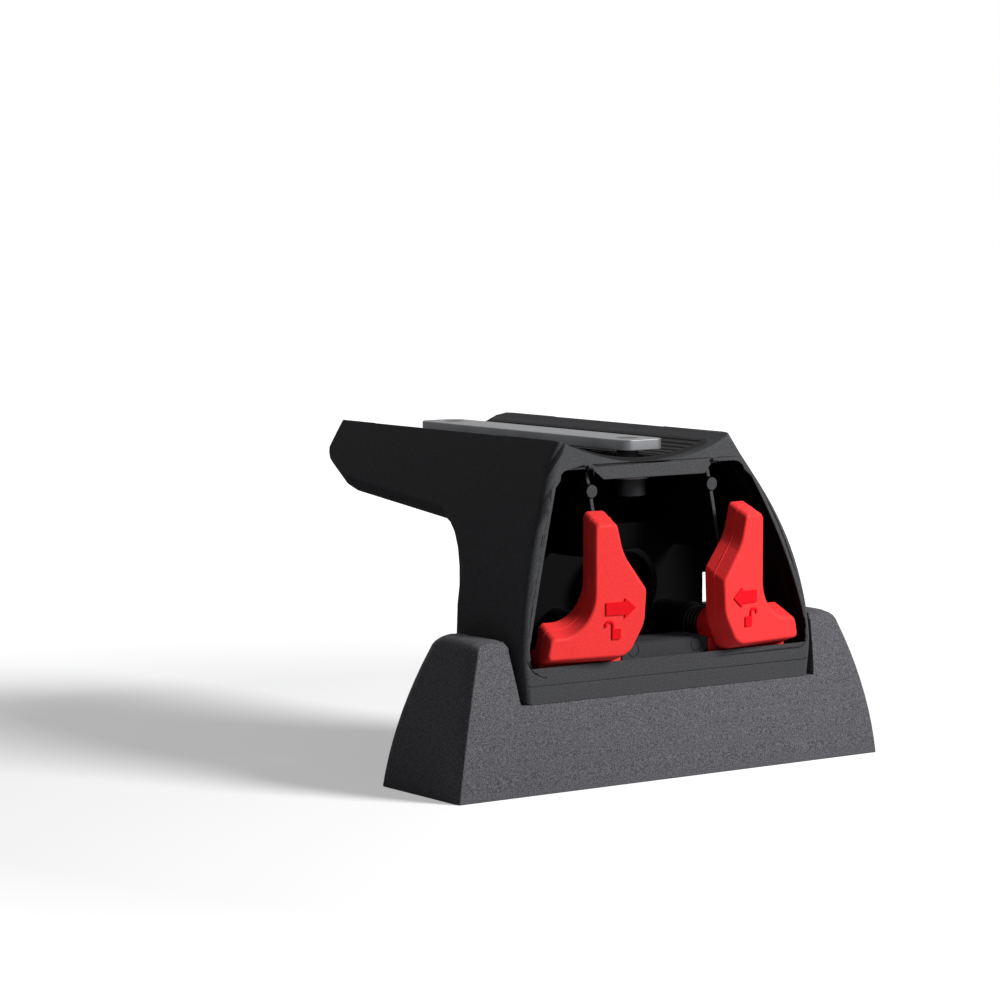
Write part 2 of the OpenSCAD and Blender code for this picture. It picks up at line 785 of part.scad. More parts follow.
// A lever's outline, clockwise seen from the front. The back one stands flare further out
function lever_outline(flare) =
    let (
        tab_top = tab_h + 0.82 * flare,
        low = -base_d - 0.6 * flare
    )
    rounded([
        [tab_out, tab_top, 1.6],
        [tab_out, toe_h - base_d + 0.95 * flare, lever_curve_r],
        [toe_out - 1.2, toe_h - base_d + 0.95 * flare, 1.8],
        [toe_out + 0.2 * flare, low, 1.2],
        [-base_d - 0.2 * flare, low, 5],
        [-bulge_in + 0.6 - 0.1 * flare, 4.3 - 0.3 * flare, 8],
        [-bulge_in - 0.1 * flare, bulge_h + flare, 2.5],
        [tab_out - tab_l - 2, tab_h - 8.3 + 0.8 * flare, 12],
        [tab_out - tab_l, tab_top, 1.4]
    ]);

// One ring of the lever: an outline set back by y
function lever_ring(pts, y) = [for (p = pts) [p[0], y, p[1]]];

// A finger plate with soft front edges, which widens from its face to its back
module finger_plate() {
    soft = 0.9;
    face = lever_outline(0);
    skin([
        lever_ring(inset(face, soft), 0),
        lever_ring(inset(face, 0.3 * soft), 0.3 * soft),
        lever_ring(face, soft),
        lever_ring(lever_outline(0.55 * lever_flare), 0.54 * lever_t),
        lever_ring(lever_outline(lever_flare), lever_t - 0.6),
        lever_ring(inset(lever_outline(lever_flare), 0.5), lever_t)
    ], [[2, 0, 0], [2, lever_t, 0]]);
}

// The foot behind the plate, with the hook that reaches under the striker's lip
foot_in = striker_l / 2 + 0.35;
foot_out = pivot_x + toe_out - 1.2;
module lever_foot() {
    front_prism(foot_front, foot_back)
        polygon(rounded([
            [foot_out, striker_top - 0.5, 1.5],
            [foot_out, sill_z - 0.6, 1.5],
            [foot_in + 11, hook_low, 6],
            [foot_in, hook_low, 0.8],
            [foot_in, striker_top - 0.5, 0.8]
        ]));
    front_prism(striker_wall_back + 0.4, foot_back)
        polygon(rounded([
            [foot_in + 3, hook_top, 0.6],
            [foot_in + 3, hook_low, 0.6],
            [foot_in - hook_grip, hook_low, 0.9],
            [foot_in - hook_grip, hook_top, 0.6]
        ]));
}

module lever() color([0.86, 0.07, 0.06]) {
    difference() {
        union() {
            lever_frame() {
                finger_plate();
                pivot_rod(hub_r, lever_t - past, hub_end);
                pivot_rod(hub_r - 1.4, hub_end - past, boss_start - 0.3);
            }
            lever_foot();
            lever_frame()
                translate([spring_peg_x, 0, -spring_peg_z])
                    pivot_rod(1, hub_end - 3, hub_end + 1.8);
        }
        lever_frame()
            pivot_rod(pin_r + snug, pin_start, boss_start + past);
    }
}

module right_lever() lever();
module left_lever() mirror([1, 0, 0]) lever();

module pivot_pin() color([0.75, 0.76, 0.78])
    lever_frame()
        difference() {
            pivot_rod(pin_r, pin_start + seat, pin_end);
            difference() {
                pivot_rod(pin_r + past, boss_end + washer_t + snug, boss_end + washer_t + clip_t + 3 * snug);
                pivot_rod(groove_r, boss_end, pin_end);
            }
        }

module right_pivot_pin() pivot_pin();
module left_pivot_pin() mirror([1, 0, 0]) pivot_pin();

module pin_washer() color([0.72, 0.73, 0.75])
    lever_frame()
        difference() {
            pivot_rod(washer_r, boss_end + run_fit, boss_end + washer_t);
            pivot_rod(pin_r + 0.1, boss_end - past, boss_end + washer_t + past);
        }

module right_pin_washer() pin_washer();
module left_pin_washer() mirror([1, 0, 0]) pin_washer();

module pin_clip() color([0.5, 0.5, 0.52])
    lever_frame()
        difference() {
            pivot_rod(clip_r, boss_end + washer_t + 2 * snug, boss_end + washer_t + clip_t + 2 * snug);
            pivot_rod(groove_r + snug, boss_end, pin_end);
            translate([-groove_r - 0.1, boss_end, -clip_r - past])
                cube([2 * groove_r + 0.2, 4, clip_r + past]);
        }

module right_pin_clip() pin_clip();
module left_pin_clip() mirror([1, 0, 0]) pin_clip();

// Points of the return spring: a leg down to the lever's foot, the coil, and a leg to the boss
spring_steps = 16;
function spring_path() =
    let (
        n = round(spring_turns * spring_steps),
        y0 = hub_end + 0.2 + spring_wire / 2,
        y1 = boss_start - 0.2 - spring_wire / 2
    )
    concat(
        [[spring_r, y0, -6.6], [spring_r, y0, -3.3]],
        [for (i = [0:n])
            let (a = 360 * i / spring_steps)
            [spring_r * cos(a), y0 + (y1 - y0) * i / n, spring_r * sin(a)]],
        [[-spring_r, y1, -3.3], [-spring_r, y1, -6.6]]
    );

// A round wire swept along a path of points
module wire(path, r, sides) {
    n = len(path);
    skin([for (i = [0:n - 1])
        let (
            t = unit(path[min(i + 1, n - 1)] - path[max(i - 1, 0)]),
            side = unit(cross(t, [0.13, 1, 0.07])),
            up = cross(side, t)
        )
        [for (k = [0:sides - 1])
            path[i] + r * (cos(360 * k / sides) * side + sin(360 * k / sides) * up)]]);
}

module return_spring() color([0.66, 0.67, 0.7])
    lever_frame()
        wire(spring_path(), spring_wire / 2, 8);

module right_return_spring() return_spring();
module left_return_spring() mirror([1, 0, 0]) return_spring();

leg_body();
saddle_strip();
clamp_plate();
clamp_screw_front();
clamp_screw_rear();
clamp_washer_front();
clamp_washer_rear();
base_pad();
roof_gasket();
roof_plate();
striker();
striker_pin_left();
striker_pin_right();
striker_screw_left();
striker_screw_right();
left_lever();
right_lever();
left_pivot_pin();
right_pivot_pin();
left_return_spring();
right_return_spring();
left_pin_washer();
right_pin_washer();
left_pin_clip();
right_pin_clip();
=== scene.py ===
# %% [markdown]
# # A quick-release foot for a roof bar
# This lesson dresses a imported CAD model. It is the foot of a roof rack: a charcoal arm with a trough
# for the bar, a grained grey pad that stands on the roof, and two red levers in a front window that
# unhook the one from the other. The CAD gives every size and every joint. Blender gives the soft
# edges, the moulded marks and the finishes. Lengths below are in millimetres, and one helper turns
# them into Blender's metres.

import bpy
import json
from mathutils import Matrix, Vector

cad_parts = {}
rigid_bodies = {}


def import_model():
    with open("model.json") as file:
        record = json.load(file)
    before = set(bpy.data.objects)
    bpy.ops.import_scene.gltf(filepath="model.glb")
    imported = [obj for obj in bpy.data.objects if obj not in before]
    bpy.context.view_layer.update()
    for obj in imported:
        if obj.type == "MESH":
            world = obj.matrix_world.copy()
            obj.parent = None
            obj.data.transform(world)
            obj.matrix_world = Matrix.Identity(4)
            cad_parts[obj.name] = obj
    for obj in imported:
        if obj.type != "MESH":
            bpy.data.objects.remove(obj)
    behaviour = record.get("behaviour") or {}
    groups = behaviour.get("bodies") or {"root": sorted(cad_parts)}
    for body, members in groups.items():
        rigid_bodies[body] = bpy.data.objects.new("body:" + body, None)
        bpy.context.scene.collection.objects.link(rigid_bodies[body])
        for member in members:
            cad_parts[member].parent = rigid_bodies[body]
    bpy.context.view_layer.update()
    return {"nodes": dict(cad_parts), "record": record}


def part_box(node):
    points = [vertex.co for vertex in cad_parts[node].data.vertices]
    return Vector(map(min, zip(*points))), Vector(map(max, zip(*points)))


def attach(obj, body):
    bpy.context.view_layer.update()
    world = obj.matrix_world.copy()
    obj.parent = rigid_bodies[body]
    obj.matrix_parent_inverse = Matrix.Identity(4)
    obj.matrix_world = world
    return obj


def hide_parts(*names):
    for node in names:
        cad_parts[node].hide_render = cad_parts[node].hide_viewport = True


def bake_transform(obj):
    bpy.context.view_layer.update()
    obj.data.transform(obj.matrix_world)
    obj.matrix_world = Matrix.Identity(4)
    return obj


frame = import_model()

# %% Modules and the millimetre
import json
import math

import bmesh
import bpy
from mathutils import Matrix, Vector

MM = 0.001
scene = bpy.context.scene
scene.view_settings.view_transform = "Standard"


def mm(x, y, z):
    return Vector((x, y, z)) * MM


# %% [markdown]
# The camera stands to the left of the foot and a little above it, so it sees the front with the
# levers, the left side, and the arm going away. A long lens keeps the upright edges nearly
# parallel. Its place was fitted to the edges of the pad and the leg.

# %% Camera
camera_data = bpy.data.cameras.new("camera")
camera = bpy.data.objects.new("camera", camera_data)
scene.collection.objects.link(camera)
camera_data.sensor_width = 36
camera_data.lens = 122.02
camera_data.clip_start, camera_data.clip_end = 0.05, 20
camera.location = mm(-570.7, -729.7, 158.9)
camera.rotation_euler = (math.radians(90 - 5.21), 0, math.radians(-35.70))
scene.camera = camera
print("camera at", [round(v, 3) for v in camera.location])

# %% [markdown]
# One broad lamp stands in front and to the right. It gives the front of the foot its full
# colour and leaves the left side to the dim fill, about a sixth as bright. That contrast is what
# makes the grain of the pad and the crisp corner beside it readable. The power follows from the
# distance: a surface that faces such a lamp shows its written colour when the lamp gives
# pi * pi * distance * distance watts.

# %% Key lamp
KEY_SIDE, KEY_HEIGHT, KEY_FAR = 34.0, 29.0, 1.3
aim = mm(0, 10, 50)
side, height = math.radians(KEY_SIDE), math.radians(KEY_HEIGHT)
level = math.cos(height)
direction = Vector((math.sin(side) * level, -math.cos(side) * level, math.sin(height)))
front_share = -direction.y
key_data = bpy.data.lights.new("key_lamp", "AREA")
key_data.shape, key_data.size = "DISK", 0.45
key_data.energy = 0.92 * math.pi**2 * KEY_FAR**2 / front_share
key_lamp = bpy.data.objects.new("key_lamp", key_data)
key_lamp.location = aim + direction * KEY_FAR
key_lamp.rotation_euler = (-direction).to_track_quat("-Z", "Y").to_euler()
scene.collection.objects.link(key_lamp)
print("key lamp", round(key_data.energy, 1), "W")

# %% [markdown]
# The world does two jobs. Diffuse light gets a dim, even fill from it. The camera, and the rays that
# make gloss and glass, see it as plain white, which gives the white backdrop without putting more
# light on the foot.

# %% World
FILL = 0.085
world = bpy.data.worlds.new("studio")
scene.world = world
world.use_nodes = True
tree = world.node_tree
tree.nodes.clear()
rays = tree.nodes.new("ShaderNodeLightPath")
seen = tree.nodes.new("ShaderNodeMath")
seen.operation = "MAXIMUM"
seen_through = tree.nodes.new("ShaderNodeMath")
seen_through.operation = "MAXIMUM"
backdrop = tree.nodes.new("ShaderNodeBackground")
backdrop.inputs["Color"].default_value = (1, 1, 1, 1)
fill = tree.nodes.new("ShaderNodeBackground")
fill.inputs["Color"].default_value = (0.97, 0.98, 1, 1)
fill.inputs["Strength"].default_value = FILL
mix = tree.nodes.new("ShaderNodeMixShader")
out = tree.nodes.new("ShaderNodeOutputWorld")
tree.links.new(rays.outputs["Is Camera Ray"], seen.inputs[0])
tree.links.new(rays.outputs["Is Glossy Ray"], seen.inputs[1])
tree.links.new(seen.outputs[0], seen_through.inputs[0])
tree.links.new(rays.outputs["Is Transmission Ray"], seen_through.inputs[1])
tree.links.new(seen_through.outputs[0], mix.inputs[0])
tree.links.new(fill.outputs[0], mix.inputs[1])
tree.links.new(backdrop.outputs[0], mix.inputs[2])
tree.links.new(mix.outputs[0], out.inputs[0])

# %% [markdown]
# The floor is pale paper. For the camera it also has a plain white light of its own, more of it
# further out, so the paper runs into the backdrop with no horizon, and the soft shadow stays near
# the foot. To every other ray it is a mid grey, which keeps the light that it throws back low.

# %% Floor
sheet = bmesh.new()
bmesh.ops.create_grid(sheet, x_segments=1, y_segments=1, size=6)
floor_mesh = bpy.data.meshes.new("floor")
sheet.to_mesh(floor_mesh)
sheet.free()
floor = bpy.data.objects.new("floor", floor_mesh)
scene.collection.objects.link(floor)
floor_mat = bpy.data.materials.new("floor_paper")
floor_mat.use_nodes = True
paper = floor_mat.node_tree
paper.nodes.clear()


def paper_node(kind, **values):
    made = paper.nodes.new(kind)
    for key, value in values.items():
        made.inputs[key.replace("_", " ")].default_value = value
    return made


paper_rays = paper_node("ShaderNodeLightPath")
place = paper_node("ShaderNodeTexCoord")
far = paper_node("ShaderNodeVectorMath")
far.operation = "LENGTH"
fade = paper_node("ShaderNodeMapRange", From_Min=0.2, From_Max=0.55, To_Min=0.38, To_Max=1.0)
grey = paper_node("ShaderNodeBsdfDiffuse", Color=(0.36, 0.36, 0.37, 1))
white = paper_node("ShaderNodeBsdfDiffuse", Color=(0.92, 0.92, 0.92, 1))
glow = paper_node("ShaderNodeEmission", Color=(1, 1, 1, 1))
lit = paper_node("ShaderNodeAddShader")
shown = paper_node("ShaderNodeMixShader")
paper_out = paper_node("ShaderNodeOutputMaterial")
paper.links.new(place.outputs["Object"], far.inputs[0])
paper.links.new(far.outputs["Value"], fade.inputs["Value"])
paper.links.new(fade.outputs["Result"], glow.inputs["Strength"])
paper.links.new(white.outputs[0], lit.inputs[0])
paper.links.new(glow.outputs[0], lit.inputs[1])
paper.links.new(paper_rays.outputs["Is Camera Ray"], shown.inputs[0])
paper.links.new(grey.outputs[0], shown.inputs[1])
paper.links.new(lit.outputs[0], shown.inputs[2])
paper.links.new(shown.outputs[0], paper_out.inputs["Surface"])
floor_mesh.materials.append(floor_mat)

# %% [markdown]
# A material here is a small recipe: a base colour that varies a little, a grain that is both seen
# and felt through a bump, and a roughness that follows the grain. The next helpers place the nodes,
# and each finish below gives them its own scale and strength. Patterns read Object coordinates,
# because every piece has its place in its mesh, so a grain is equally fine on all of them.

# %% Material helpers
def new_material(name, color, roughness, specular=0.5, metallic=0.0):
    mat = bpy.data.materials.new(name)
    mat.use_nodes = True
    shader = mat.node_tree.nodes["Principled BSDF"]
    shader.inputs["Base Color"].default_value = (*color, 1)
    shader.inputs["Roughness"].default_value = roughness
    shader.inputs["Specular IOR Level"].default_value = specular
    shader.inputs["Metallic"].default_value = metallic
    return mat


def node(mat, kind, **values):
    made = mat.node_tree.nodes.new(kind)
    for key, value in values.items():
        if hasattr(made, key):
            setattr(made, key, value)
        else:
            made.inputs[key.replace("_", " ")].default_value = value
    return made


def link(mat, a, b):
    mat.node_tree.links.new(a, b)


def shader_of(mat):
    return mat.node_tree.nodes["Principled BSDF"]


def noise(mat, scale, detail=2.0, stretch=(1, 1, 1)):
    place = node(mat, "ShaderNodeTexCoord")
    turn = node(mat, "ShaderNodeMapping")
    turn.inputs["Scale"].default_value = stretch
    made = node(mat, "ShaderNodeTexNoise", Scale=scale, Detail=detail)
    link(mat, place.outputs["Object"], turn.inputs["Vector"])
    link(mat, turn.outputs["Vector"], made.inputs["Vector"])
    return made.outputs["Fac"]


def ramp(mat, value, stops):
    made = node(mat, "ShaderNodeValToRGB")
    band = made.color_ramp
    band.elements[0].position, band.elements[0].color = stops[0][0], (*stops[0][1], 1)
    band.elements[1].position, band.elements[1].color = stops[-1][0], (*stops[-1][1], 1)
    for position, color in stops[1:-1]:
        band.elements.new(position).color = (*color, 1)
    link(mat, value, made.inputs["Fac"])
    return made.outputs["Color"]


def spread(mat, value, low, high, start=0.3, end=0.7):
    made = node(mat, "ShaderNodeMapRange", From_Min=start, From_Max=end, To_Min=low, To_Max=high)
    link(mat, value, made.inputs["Value"])
    return made.outputs["Result"]


def tinted(mat, color, shade):
    made = node(mat, "ShaderNodeMixRGB", blend_type="MULTIPLY")
    made.inputs[0].default_value = 1
    link(mat, color, made.inputs[1])
    link(mat, shade, made.inputs[2])
    return made.outputs[0]


def bump(mat, height, distance_mm, strength=1.0, before=None):
    made = node(mat, "ShaderNodeBump", Strength=strength, Distance=distance_mm * MM)
    link(mat, height, made.inputs["Height"])
    if before is not None:
        link(mat, before, made.inputs["Normal"])
    return made.outputs["Normal"]


# %% [markdown]
# Moulded nylon gets its grain from an etched mould. The pad's grain is coarse, with specks half a
# millimetre wide, the leg's is finer, and inside the window the mould was left smooth, with a
# near-black colour that is painted shade for the deep shadow there. The grain is a noise near the
# size of the specks. Its peaks scuff first, so they are a little paler and duller, and a slow
# second noise lets the tone drift as it does on any moulded part. Specular is low, because an
# etched surface scatters nearly all of its shine.

# %% Grained plastics
def grained(name, color, rough, grain_scale, grain_mm, fleck, specular=0.2, drift=0.06, soft=0.0):
    mat = new_material(name, color, rough, specular)
    fine = noise(mat, grain_scale, 2.0)
    slow = noise(mat, 28, 2.0)
    dark = tuple(c * (1 - fleck) for c in color)
    light = tuple(min(1, c * (1 + fleck)) for c in color)
    specks = ramp(mat, fine, [(0.34, dark), (0.5, color), (0.66, light)])
    cloudy = ramp(mat, slow, [(0.3, (1 - drift,) * 3), (0.7, (1, 1, 1))])
    link(mat, tinted(mat, specks, cloudy), shader_of(mat).inputs["Base Color"])
    link(mat, spread(mat, fine, rough - 0.07, rough + 0.07), shader_of(mat).inputs["Roughness"])
    normal = bump(mat, fine, grain_mm)
    if soft > 0:
        normal = bump(mat, slow, soft, 0.6, normal)
    link(mat, normal, shader_of(mat).inputs["Normal"])
    return mat


leg_nylon = grained("black_nylon", (0.064, 0.065, 0.069), 0.6, 2600, 0.04, 0.24, 0.03)
# The inside finish is smooth like the polished mould, and near-black as painted shade for the window's
# deep shadow.
leg_inside_painted_shade = grained("black_nylon_smooth_painted_shade", (0.0055, 0.0055, 0.006), 0.5, 2600, 0.01, 0.1, 0.02)
pad_nylon = grained("grey_nylon", (0.108, 0.107, 0.116), 0.68, 2700, 0.13, 0.5, 0.07)
lever_nylon = grained("red_nylon", (0.96, 0.044, 0.044), 0.5, 2300, 0.035, 0.07, 0.1, 0.03)
lever_mark = grained("red_nylon_polished", (0.88, 0.008, 0.016), 0.4, 2300, 0.005, 0.03, 0.04, 0.03)
print("moulded finishes:", leg_nylon.name, pad_nylon.name, lever_nylon.name)

# %% [markdown]
# Rubber is duller and darker than nylon, with a finer, softer skin. The striker wears a powder coat,
# whose slight orange peel is a bump at twice the size of its fine texture.

# %% Rubber and coatings
rubber = grained("black_rubber", (0.02, 0.02, 0.02), 0.82, 1900, 0.03, 0.15, 0.15, 0.12)
coated = grained("coated_striker", (0.048, 0.049, 0.053), 0.5, 2400, 0.02, 0.12, 0.06, 0.05, 0.03)
coated_pin = grained("striker_pin_steel", (0.05, 0.052, 0.057), 0.42, 2600, 0.01, 0.08, 0.12, 0.08)

# %% [markdown]
# Plated and blackened steel is duller than chrome. It keeps the marks of rolling or turning as long
# faint streaks, and its roughness drifts where it was handled. The streaks are a noise stretched
# along one axis by a Mapping node.

# %% Metals
def plated(name, color, rough, streak=(1, 1, 14)):
    mat = new_material(name, color, rough, 0.5, 1.0)
    lines = noise(mat, 900, 2.0, streak)
    smudge = noise(mat, 120, 3.0)
    tone = tuple(c * 0.8 for c in color)
    link(mat, ramp(mat, smudge, [(0.3, tone), (0.7, color)]), shader_of(mat).inputs["Base Color"])
    link(mat, spread(mat, smudge, rough - 0.06, rough + 0.1), shader_of(mat).inputs["Roughness"])
    link(mat, bump(mat, lines, 0.008, 0.5), shader_of(mat).inputs["Normal"])
    return mat


finishes = {
    "black_nylon": leg_nylon,
    "grey_nylon": pad_nylon,
    "red_nylon": lever_nylon,
    "black_rubber": rubber,
    "coated_striker": coated,
    "striker_pin_steel": coated_pin,
    "zinc_steel": plated("zinc_steel", (0.2, 0.203, 0.21), 0.52, (14, 1, 1)),
    "steel_bolt": plated("steel_bolt", (0.03, 0.03, 0.032), 0.5),
    "pin_steel": plated("pin_steel", (0.6, 0.61, 0.63), 0.28, (1, 1, 1)),
    "spring_wire": plated("spring_wire", (0.014, 0.014, 0.016), 0.5, (1, 1, 1)),
    "black_clip_steel": plated("black_clip_steel", (0.09, 0.09, 0.095), 0.45, (1, 1, 1)),
}
slot_of = {part["node"]: part["material_slot"] for part in frame["record"]["subparts"]}
for name, obj in frame["nodes"].items():
    obj.data.materials.clear()
    obj.data.materials.append(finishes[slot_of[name]])
print("dressed", len(slot_of), "CAD nodes")

# %% [markdown]
# Every finished piece needs the same last steps: its mesh in an object at the origin, its finish,
# the body it rides on, the CAD node it stands for, and shading that is smooth except at real edges.
# A piece that bends between two bodies is given no body here.
# A Weighted Normal modifier lets the large faces keep the shading flat and gives the turn to the
# narrow faces of the bevels.

# %% Piece helpers
def grown_verts(geom):
    return [item for item in geom if isinstance(item, bmesh.types.BMVert)]


def grown_edges(geom):
    return [item for item in geom if isinstance(item, bmesh.types.BMEdge)]


def baked_mesh(obj):
    depsgraph = bpy.context.evaluated_depsgraph_get()
    return bpy.data.meshes.new_from_object(obj.evaluated_get(depsgraph))


def linked_object(name, bm):
    mesh = bpy.data.meshes.new(name)
    bm.to_mesh(mesh)
    bm.free()
    made = bpy.data.objects.new(name, mesh)
    scene.collection.objects.link(made)
    return made


def finish_piece(piece, node_name, body="foot", sharp=30.0, more=()):
    slot = slot_of[node_name]
    piece.data.materials.clear()
    for mat in (finishes[slot], *more):
        piece.data.materials.append(mat)
    piece.data.set_sharp_from_angle(angle=math.radians(sharp))
    piece.data.polygons.foreach_set("use_smooth", [True] * len(piece.data.polygons))
    piece.data.update()
    normals = piece.modifiers.new("normals", "WEIGHTED_NORMAL")
    normals.keep_sharp = True
    if body is not None:
        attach(piece, body)
    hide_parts(node_name)
    return piece


def face_width(face, edge):
    return face.calc_area() / max(edge.calc_length(), 1e-9)


# %% [markdown]
# A CAD edge is perfectly sharp, and nothing real is. A moulded edge has a radius of about a quarter
# of a millimetre, which catches a thin line of light. The CAD nodes stay as they are, so a copy is
# merged into one skin, its flat facets are joined, and every edge that turns by more than a limit is
# bevelled. Edges beside very narrow faces, such as the fine lines on the rim, are left crisp, and
# so is any edge whose ends a given test keeps.

# %% Softened copies
def merged(node_name):
    bm = bmesh.new()
    bm.from_mesh(frame["nodes"][node_name].data)
    bmesh.ops.remove_doubles(bm, verts=bm.verts[:], dist=2e-6)
    return bm


# A Boolean gives its faces in a new order at each run, and joining facets depends on the order. So
# everything is sorted by its place along one odd direction first.
SORT_ALONG = Vector((1.0, 0.6180339, 0.3141592))


def in_order(bm):
    bm.verts.sort(key=lambda vert: vert.co.dot(SORT_ALONG))
    bm.edges.sort(key=lambda edge: (edge.verts[0].co + edge.verts[1].co).dot(SORT_ALONG))
    bm.faces.sort(key=lambda face: face.calc_center_median().dot(SORT_ALONG))


NARROW = 0.45 * MM


def soften(bm, label, width_mm, angle=35.0, flat=0.3, keep=None):
    bmesh.ops.dissolve_limit(bm, angle_limit=math.radians(flat), verts=bm.verts[:],
                             edges=bm.edges[:])
    edges = []
    for edge in bm.edges:
        if len(edge.link_faces) != 2 or edge.calc_face_angle(0) < math.radians(angle):
            continue
        if keep is not None and all(keep(vert.co) is not None for vert in edge.verts):
            continue
        if min(face_width(face, edge) for face in edge.link_faces) > NARROW:
            edges.append(edge)
    bmesh.ops.bevel(bm, geom=edges, offset=width_mm * MM, offset_type="OFFSET", affect="EDGES",
                    segments=2, profile=0.5, material=-1, clamp_overlap=False)
    print(label, "softened along", len(edges), "edges,", len(bm.faces), "faces")


def softened(node_name, width_mm):
    bm = merged(node_name)
    soften(bm, node_name, width_mm)
    return bm


# %% [markdown]
# Some shapes are joined from closed parts or cut by closed tools. A Boolean modifier does either,
# and its result is baked, so the tools can go. A rod is a closed cone of one radius, laid along Y.

# %% Joining and cutting
def combine(base, tools, operation):
    for tool in tools:
        step = base.modifiers.new("step", "BOOLEAN")
        step.operation, step.solver, step.object = operation, "EXACT", tool
        step.material_mode = "TRANSFER"
    baked = baked_mesh(base)
    base.modifiers.clear()
    base.data = baked
    for tool in tools:
        bpy.data.objects.remove(tool)


def rod(radius, y0, y1, x=0.0, z=0.0, segments=48, soft=0.0):
    bm = bmesh.new()
    stand = Matrix.Translation(mm(x, (y0 + y1) / 2, z)) @ Matrix.Rotation(math.radians(90), 4, "X")
    bmesh.ops.create_cone(bm, cap_ends=True, segments=segments, radius1=radius * MM,
                          radius2=radius * MM, depth=(y1 - y0) * MM, matrix=stand)
    if soft > 0:
        rims = [e for e in bm.edges if abs(e.verts[0].co.y - e.verts[1].co.y) < 1e-7]
        bmesh.ops.bevel(bm, geom=rims, offset=soft * MM, offset_type="OFFSET", affect="EDGES",
                        segments=3, profile=0.5, material=-1, clamp_overlap=False)
    return bm


# %% [markdown]
# The leg is one moulding: post, arm, trough and the window's frame. Two slim webs hang under the
# trough. They are thinner than the CAD's, they lean with the front of the leg, and each carries a
# small disc. So the front part of the CAD's webs is cut away in the copy, and new ones are added.
# A web is its outline seen from the side, extruded by its thickness.

# %% Leg webs
FRONT_Y, FRONT_LEAN, LEAN_FROM, LEAN_RISE = -15.793, 11.5, 28, 64
HALF_WIDE, HALF_DRAW, DRAW_FROM, DRAW_RISE = 50.1, 20.4, 30, 62
WEB_X, WEB_THICK, WEB_BACK, WEB_SET_BACK = 20.2, 1.2, 1.2, 2.7
DISC_R, DISC_X, DISC_Z = 1.85, 20.8, 78.4


def leg_front(z):
    return FRONT_Y + FRONT_LEAN * (max(z - LEAN_FROM, 0) / LEAN_RISE) ** 2


def leg_half(z):
    drawn_in = HALF_DRAW * (max(z - DRAW_FROM, 0) / DRAW_RISE) ** 2
    return HALF_WIDE - drawn_in - 1.2 * max(34 - z, 0) / 10.2


def tool_object(name, bm):
    made = linked_object(name, bm)
    made.data.materials.append(leg_nylon)
    return made


def box_tool(name, low, high):
    bm = bmesh.new()
    centre, size = (mm(*low) + mm(*high)) / 2, mm(*high) - mm(*low)
    bmesh.ops.create_cube(bm, size=1, matrix=Matrix.LocRotScale(centre, None, size))
    return tool_object(name, bm)


def web_plate(side):
    bm = bmesh.new()
    heights = [60.4 + 4 * k for k in range(7)]
    outline = [(leg_front(z) + WEB_SET_BACK, z) for z in heights]
    outline += [(WEB_BACK, heights[-1]), (WEB_BACK, heights[0])]
    face = bm.faces.new([bm.verts.new(mm(side * WEB_X, y, z)) for y, z in outline])
    grown = bmesh.ops.extrude_face_region(bm, geom=[face], use_keep_orig=True)["geom"]
    bmesh.ops.translate(bm, vec=mm(side * WEB_THICK, 0, 0), verts=grown_verts(grown))
    bmesh.ops.recalc_face_normals(bm, faces=bm.faces[:])
    return tool_object("web", bm)


def web_disc(side):
    start = leg_front(DISC_Z)
    return tool_object("web_disc", rod(DISC_R, start + 1.8, start + 6, side * DISC_X, DISC_Z))


# %% [markdown]
# Fine lines run along the rim beside the window and along the band below it. Two outlines of the
# window's side, a third of a millimetre apart, make a narrow ribbon. Its back follows the curved
# front of the leg a quarter of a millimetre deep, and cutting with it leaves the line.

# %% Rim lines
WINDOW_R, ARC_TOP, BEFORE_LEG = 6, 38, -30


def window_half(z, more):
    t = (z - 40) / 40
    return leg_half(z) - (2.2 + 0.8 * t + 4.4 * t * (1 - t)) - more


def window_side(more):
    low_x = window_half(ARC_TOP, more)
    r = WINDOW_R - more
    foot = [(low_x - WINDOW_R + r * math.cos(a) + more, ARC_TOP + r * math.sin(a))
            for a in (-1.5, -1.2, -0.9, -0.6, -0.3)]
    return foot + [(window_half(z, more), z) for z in range(ARC_TOP, 81, 3)]


def line_tool(name, inner, outer, deep, side):
    bm = bmesh.new()
    near, away = window_side(inner), window_side(outer)
    first = [bm.verts.new(mm(side * x, BEFORE_LEG, z)) for x, z in near]
    edges = [bm.edges.new(pair) for pair in zip(first, first[1:])]
    grown = bmesh.ops.extrude_edge_only(bm, edges=edges)["geom"]
    order = {tuple(v.co): i for i, v in enumerate(first)}
    for vert in grown_verts(grown):
        x, z = away[order[tuple(vert.co)]]
        vert.co = mm(side * x, BEFORE_LEG, z)
    deepened = bmesh.ops.extrude_face_region(bm, geom=bm.faces[:], use_keep_orig=True)["geom"]
    for vert in grown_verts(deepened):
        vert.co.y = (leg_front(vert.co.z / MM) + deep) * MM
    bmesh.ops.recalc_face_normals(bm, faces=bm.faces[:])
    return tool_object(name, bm)


# %% [markdown]
# The fold between the leg's side and its front is a round of 2 mm along two curves. Its formula
# tells whether a point lies on it, and which way the true surface faces there. The bevel leaves the
# fold alone, and its shading uses these directions below.

# %% Leg fold
FOLD_R = 2.0


def fold_normal(co):
    x, y, z = (v / MM for v in co)
    d = y - leg_front(z)
    if not (35 < z < 90.5 and -0.03 < d < FOLD_R + 4):
        return None
    rest = max(FOLD_R - max(d, 0.0), 0.0)
    drop = math.sqrt(max(FOLD_R**2 - rest**2, 0.0))
    if abs(abs(x) - leg_half(z) + FOLD_R - drop) > 0.08:
        return None
    lean = 2 * FRONT_LEAN * (z - LEAN_FROM) / LEAN_RISE**2
    slope = -2 * HALF_DRAW * max(z - DRAW_FROM, 0) / DRAW_RISE**2
    across, ahead = drop / FOLD_R, rest / FOLD_R
    return Vector((math.copysign(across, x), -ahead, ahead * lean - across * slope)).normalized()


